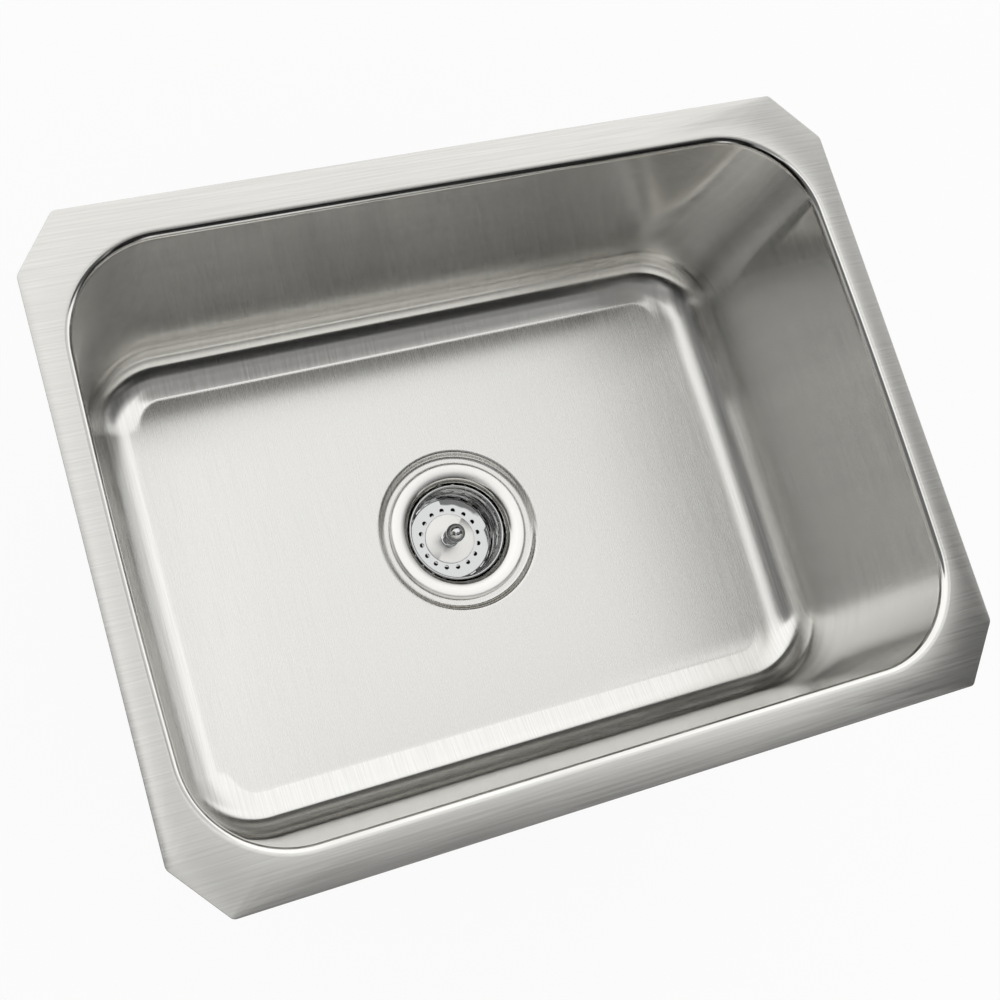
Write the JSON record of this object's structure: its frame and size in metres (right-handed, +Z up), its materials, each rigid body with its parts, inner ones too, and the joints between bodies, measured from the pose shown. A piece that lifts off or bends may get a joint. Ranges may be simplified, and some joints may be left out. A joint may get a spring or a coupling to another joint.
{
  "type": "undermount kitchen sink",
  "caption": "Single-bowl undermount kitchen sink in brushed stainless sheet with an eight-sided flange, a basket strainer that lifts out and a tailpiece below.",
  "frame": {"origin": "centre of the bowl's opening, in the plane of the flange's top face, which meets the underside of the counter", "axes": "+Z up out of the bowl, +X along the sink's length, +Y to its back"},
  "size_m": [0.597, 0.464, 0.3897],
  "materials": {
    "sink_steel": "satin stainless sheet, brushed along the flange and walls",
    "strainer_steel": "satin stainless flange with a polished cup",
    "basket_steel": "polished stainless sheet",
    "disc_steel": "satin stainless disc",
    "knob_chrome": "polished plating",
    "plate_steel": "satin stainless",
    "nut_zinc": "dull die-cast zinc",
    "tube_steel": "bright drawn tube",
    "black_rubber": "matt rubber",
    "stopper_rubber": "matt rubber",
    "washer_fibre": "pressed fibre",
    "clear_nylon": "milky nylon",
    "putty": "sealing putty",
    "pad_rubber": "matt sound-deadening sheet"
  },
  "bodies": {
    "sink": {"sink_shell": "sink_steel", "sound_pad_back": "pad_rubber", "sound_pad_front": "pad_rubber", "sound_pad_left": "pad_rubber", "sound_pad_right": "pad_rubber", "sound_pad_floor_left": "pad_rubber", "sound_pad_floor_right": "pad_rubber", "strainer_body": "strainer_steel", "outlet_cross": "plate_steel", "putty_ring": "putty", "rubber_gasket": "black_rubber", "friction_washer": "washer_fibre", "locknut": "nut_zinc", "tailpiece_washer": "clear_nylon", "tailpiece": "tube_steel", "coupling_nut": "nut_zinc"},
    "stopper_post": {"knob_post": "knob_chrome", "knob_cap": "knob_chrome", "stopper_plate": "plate_steel", "stopper_seal": "stopper_rubber", "stopper_retainer": "plate_steel", "stem_nut": "plate_steel", "stem_clip": "clear_nylon"},
    "basket": {"basket_cup": "basket_steel", "basket_hub_disc": "disc_steel"}
  },
  "joints": [
    {"name": "basket_lift", "type": "slide", "parent": "sink", "child": "stopper_post", "axis": [0, 0, 1], "range_m": [0, 0.29]},
    {"name": "basket_turn", "type": "hinge", "parent": "stopper_post", "child": "basket", "pos_m": [0, 0, -0.249], "axis": [0, 0, 1], "continuous": true}
  ]
}
